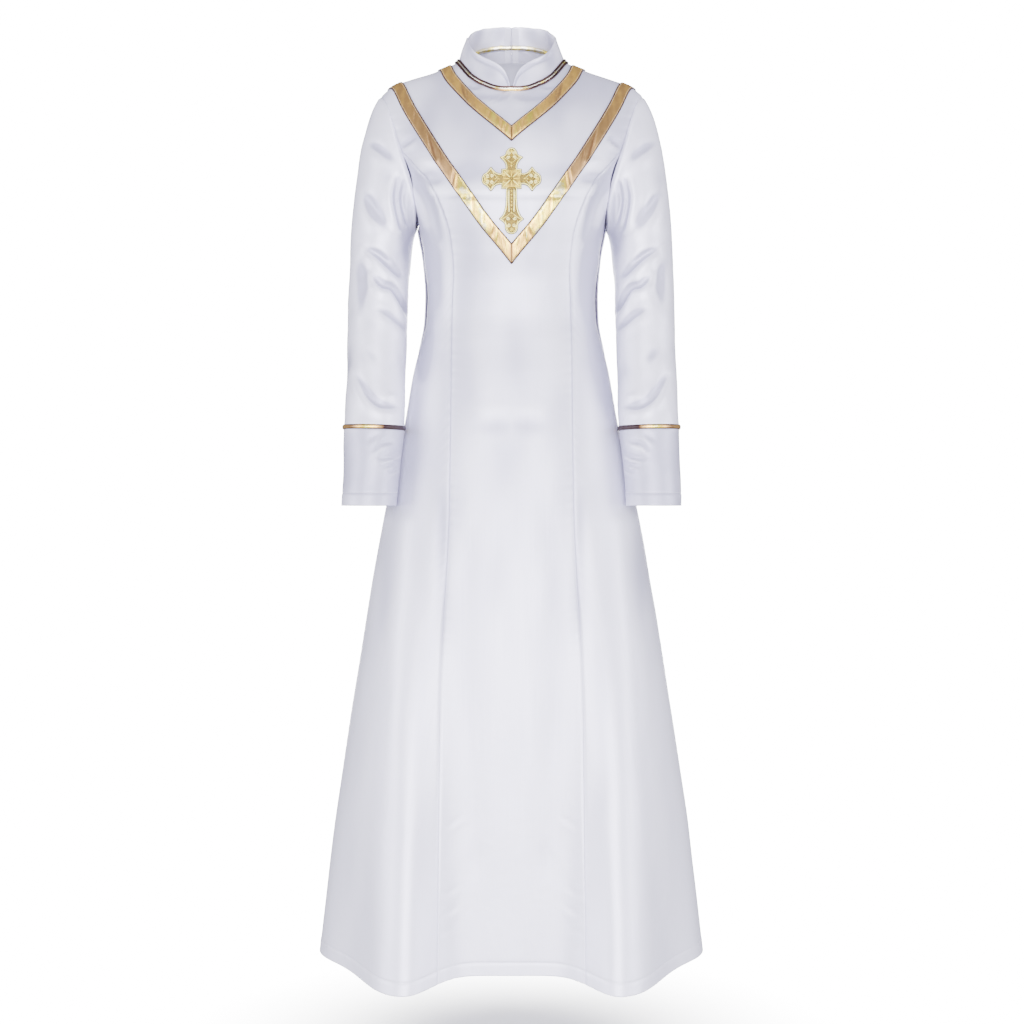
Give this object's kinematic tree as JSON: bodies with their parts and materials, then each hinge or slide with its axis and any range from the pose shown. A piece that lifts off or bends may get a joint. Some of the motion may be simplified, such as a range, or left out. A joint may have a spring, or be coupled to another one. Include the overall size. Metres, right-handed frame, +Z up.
{
  "type": "cassock",
  "caption": "White satin A-line cassock, filled out as worn: long sleeves, deep cuffs, open stand collar, gold V bands and piping, an embroidered chest cross and a back zip.",
  "frame": {"origin": "on the centre line between the wearer's shoulders, at the height where the sides of the neck seam meet the shoulder seams; the wearer's shoulders hold the garment there", "axes": "+Z up along the garment's length, -Y towards its front, +X to the viewer's right when the front is seen"},
  "size_m": [0.5726, 0.3947, 1.4125],
  "materials": {
    "white_satin": "white satin weave with a soft sheen",
    "gold_lame": "gold lame ribbon and piping with a metallic sheen",
    "gold_embroidery": "raised gold thread embroidery",
    "zip_tape": "matt woven tape",
    "zip_metal": "pale enamel on a small slider and its tab"
  },
  "bodies": {
    "garment": {"front_centre": "white_satin", "front_side_left": "white_satin", "front_side_right": "white_satin", "back_left": "white_satin", "back_right": "white_satin", "back_side_left": "white_satin", "back_side_right": "white_satin", "sleeve_left": "white_satin", "sleeve_right": "white_satin", "cuff_left": "white_satin", "cuff_right": "white_satin", "collar_left": "white_satin", "collar_right": "white_satin", "cuff_piping_left": "gold_lame", "cuff_piping_right": "gold_lame", "neck_piping": "gold_lame", "neck_binding_left": "gold_lame", "neck_binding_right": "gold_lame", "inner_band_left": "gold_lame", "inner_band_right": "gold_lame", "outer_band_left": "gold_lame", "outer_band_right": "gold_lame", "cross_applique": "gold_embroidery", "zip_tape_left": "zip_tape", "zip_tape_right": "zip_tape", "zip_slider": "zip_metal"},
    "pull_tab": {"zip_pull": "zip_metal"}
  },
  "joints": [
    {"name": "pull_tab_swing", "type": "hinge", "parent": "garment", "child": "pull_tab", "pos_m": [0, 0.05262, 0.06515], "axis": [1, 0, 0], "range_deg": [0, 135]}
  ]
}
